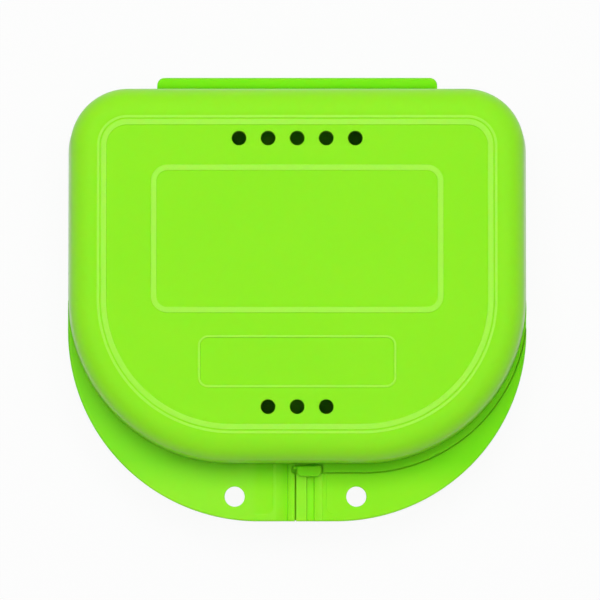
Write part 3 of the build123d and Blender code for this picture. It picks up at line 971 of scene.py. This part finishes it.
def hollow(start, end, top, depth):
    """Points (distance from the split, height) on a quarter cosine that falls ever steeper."""
    share = np.linspace(0, 1, 14)
    return np.stack([start + (end - start) * share, top - depth + depth * np.cos(share * np.pi / 2)], -1)


outer_strip = strip_top - outer_strip_drop
trough = hollow(trough_start, trough_end, strip_top, trough_depth)[::-1]
strip = swell(trough_end - step_width, outer_strip_end, outer_strip, outer_strip_rise)[::-1]
trough_surface = np.concatenate([[(0, outer_strip)], strip, trough, [(far, strip_top)]])
lid_tab = thumb_tab("lid_thumb_tab", -1, trough_surface, lid_pocket_start, -lid_tab_under)
ear_back = hook_back - ear_setback
notch = circle_rings(
    tab_split - tab_edge + notch_radius - notch_reach,
    ear_back + notch_gap - notch_radius,
    [(notch_radius, rim_plane - beyond), (notch_radius, rim_plane + slot_height)],
)
ear_notch = closed_mesh("ear_notch", [notch], [[(0, 0)], [(0, -1)]])
lid_cord_hole = cord_hole("lanyard_hole_lid", strip_top, -lid_tab_under)
combined(lid_tab, "DIFFERENCE", lip_room(-beyond, 0), lid_cord_hole, ear_notch)
finished(lid_tab, shaded_sheen_green, "lid", "lid_thumb_tab")

# The lid's lip, on the right beside the hook: part of the lid's moulding, and made like
# the tray's.
lip_clearance = 0.3  # between the hook and this lip
lip_start = hook_right + lip_clearance
lid_lip = rim_lip("lid_rim_lip", 1, lip_start, 0, lip_thickness)
finished(lid_lip, green, "lid", "lid_rim_lip")

# The snap hook: a rounded head with a small ear on its left, on a flat springy arm that
# is moulded up from the tray's front wall.
head_height = 0.95
head_under = hook_top - head_height
head_front = hook_low[1]
head_round = 0.38
head_corner = 0.85
head_back = 0.45
head_overlap = 0.3  # how far the arm and the nose reach up into the head
nose_root = 0.2
nose_clearance = 0.05
ear_depth = 0.5
ear_height = 0.5
ear_root = 0.65
head_profile = rounded(
    [(run, head_under), (0, head_under), (0, hook_top), (run, hook_top)],
    (edge_round, head_round),
    8,
)[1:-1]
head_rings = soft_rings(
    (hook_left, head_front),
    (hook_right, hook_back),
    (head_corner, head_back, head_back, head_corner),
    head_profile[:, 0],
    head_profile[:, 0],
    (10,) * 4,
)
hook = closed_mesh("latch_hook", [at_heights(head_rings, head_profile[:, 1])], [[(0, 0)], [(0, -1)]])
arm_low = (hook_x - arm_half, arm_front, arm_foot)
arm_high = (hook_x + arm_half, arm_back, head_under + head_overlap)
nose_low = (hook_x - arm_half, arm_back - nose_root, rim_plane + catch_height + nose_clearance)
nose_high = (hook_x + arm_half, hook_back, head_under + head_overlap)
ear_low = (hook_low[0], ear_back - ear_depth, head_under)
ear_high = (hook_left + ear_root, ear_back, head_under + ear_height)
combined(
    hook,
    "UNION",
    soft_block("arm", arm_low, arm_high, radius=0.2, rounding=0.1),
    soft_block("nose", nose_low, nose_high, radius=0.15, rounding=0.08),
    soft_block("ear", ear_low, ear_high, radius=0.22, rounding=0.15),
)
finished(hook, green, "latch", "latch_hook")

# The table under the case: matt and nearly white. Seen directly it is mostly its own
# plain white, so the case's shadow on it stays soft and pale.
table_half = 3.0
table_white = 0.65
seen_white = 1.0
seen_share = 0.93
table_corners = table_half * np.array([(-1, -1, 0), (1, -1, 0), (1, 1, 0), (-1, 1, 0)])
table_mesh = bpy.data.meshes.new("table")
table_mesh.from_pydata(table_corners, [], [(0, 1, 2, 3)])
table = bpy.data.objects.new("table", table_mesh)
bpy.context.scene.collection.objects.link(table)
paint = bpy.data.materials.new("pale_table")
paint.use_nodes = True
nodes, links = paint.node_tree.nodes, paint.node_tree.links
nodes["Principled BSDF"].inputs["Base Color"].default_value = (table_white, table_white, table_white, 1)
nodes["Principled BSDF"].inputs["Roughness"].default_value = 0.9
backdrop = nodes.new("ShaderNodeEmission")
backdrop.inputs["Color"].default_value = (seen_white, seen_white, seen_white, 1)
ray = nodes.new("ShaderNodeLightPath")
seen = nodes.new("ShaderNodeMath")
seen_through = nodes.new("ShaderNodeMath")
share = nodes.new("ShaderNodeMath")
seen_through.use_clamp = True
share.operation = "MULTIPLY"
share.inputs[1].default_value = seen_share
mixed = nodes.new("ShaderNodeMixShader")
links.new(ray.outputs["Is Camera Ray"], seen.inputs[0])
links.new(ray.outputs["Is Glossy Ray"], seen.inputs[1])
links.new(seen.outputs[0], seen_through.inputs[0])
links.new(ray.outputs["Is Transmission Ray"], seen_through.inputs[1])
links.new(seen_through.outputs[0], share.inputs[0])
links.new(share.outputs[0], mixed.inputs["Fac"])
links.new(nodes["Principled BSDF"].outputs["BSDF"], mixed.inputs[1])
links.new(backdrop.outputs["Emission"], mixed.inputs[2])
links.new(mixed.outputs["Shader"], nodes["Material Output"].inputs["Surface"])
table_mesh.materials.append(paint)

# The room: dim right above, with a ring of soft light round that, strongest at the back,
# and white along the horizon.
fill = 0.14
ring_light = 0.52
ring_inside = 16  # angles from straight up, in degrees: the ring is full between the middle two
ring_full = (40, 28)
ring_outside = 52
horizon_top = 0.06
world = bpy.data.worlds.new("room")
bpy.context.scene.world = world
world.use_nodes = True
nodes, links = world.node_tree.nodes, world.node_tree.links
direction = nodes.new("ShaderNodeTexCoord")
split = nodes.new("ShaderNodeSeparateXYZ")
ring = nodes.new("ShaderNodeValToRGB")
ring.color_ramp.elements[0].position = np.cos(np.radians(ring_outside))
ring.color_ramp.elements[1].position = np.cos(np.radians(ring_inside))
ring.color_ramp.elements[1].color = (0, 0, 0, 1)
for angle in ring_full:
    lit = ring.color_ramp.elements.new(np.cos(np.radians(angle)))
    lit.color = (ring_light, ring_light, ring_light, 1)
towards_back = nodes.new("ShaderNodeMapRange")
towards_back.inputs["From Min"].default_value = -0.9
towards_back.inputs["From Max"].default_value = 0.2
strength = nodes.new("ShaderNodeMath")
strength.operation = "MULTIPLY_ADD"
strength.inputs[2].default_value = fill
horizon = nodes.new("ShaderNodeMapRange")
horizon.inputs["From Min"].default_value = horizon_top
horizon.inputs["From Max"].default_value = 0.0
brightest = nodes.new("ShaderNodeMath")
brightest.operation = "MAXIMUM"
links.new(direction.outputs["Generated"], split.inputs["Vector"])
links.new(split.outputs["Z"], ring.inputs["Fac"])
links.new(split.outputs["Y"], towards_back.inputs["Value"])
links.new(ring.outputs["Color"], strength.inputs[0])
links.new(towards_back.outputs["Result"], strength.inputs[1])
links.new(split.outputs["Z"], horizon.inputs["Value"])
links.new(strength.outputs[0], brightest.inputs[0])
links.new(horizon.outputs["Result"], brightest.inputs[1])
links.new(brightest.outputs[0], nodes["Background"].inputs["Strength"])
nodes["Background"].inputs["Color"].default_value = (1, 1, 1, 1)

# A broad round softbox high above and a little behind the case gives most of the light.
# It lights without a mirror image of itself in the lid, as through crossed polarisers.
lamp = bpy.data.lights.new("overhead", "AREA")
lamp.shape = "DISK"
lamp.size = 0.87
lamp.energy = 13.3
softbox = bpy.data.objects.new("overhead", lamp)
softbox.location = (0.0, 0.19, 1.2)
softbox.rotation_euler = (-Vector(softbox.location)).to_track_quat("-Z", "Y").to_euler()
softbox.visible_glossy = False
bpy.context.scene.collection.objects.link(softbox)

# The camera stands almost straight above the case, a little to the front, and far off,
# with a long lens.
picture_width = 600
focal_length = 4391.9  # in pixels of the picture
camera_place = (0.49, -35.15, 780.1)
camera_tilt = 2.622
camera_data = bpy.data.cameras.new("camera")
camera_data.sensor_width = 36.0
camera_data.lens = focal_length / picture_width * camera_data.sensor_width
camera_data.clip_end = 10.0
camera = bpy.data.objects.new("camera", camera_data)
camera.location = np.array(camera_place) * mm
camera.rotation_euler = (np.radians(camera_tilt), 0, 0)
bpy.context.scene.collection.objects.link(camera)
bpy.context.scene.camera = camera
bpy.context.scene.view_settings.view_transform = "Standard"
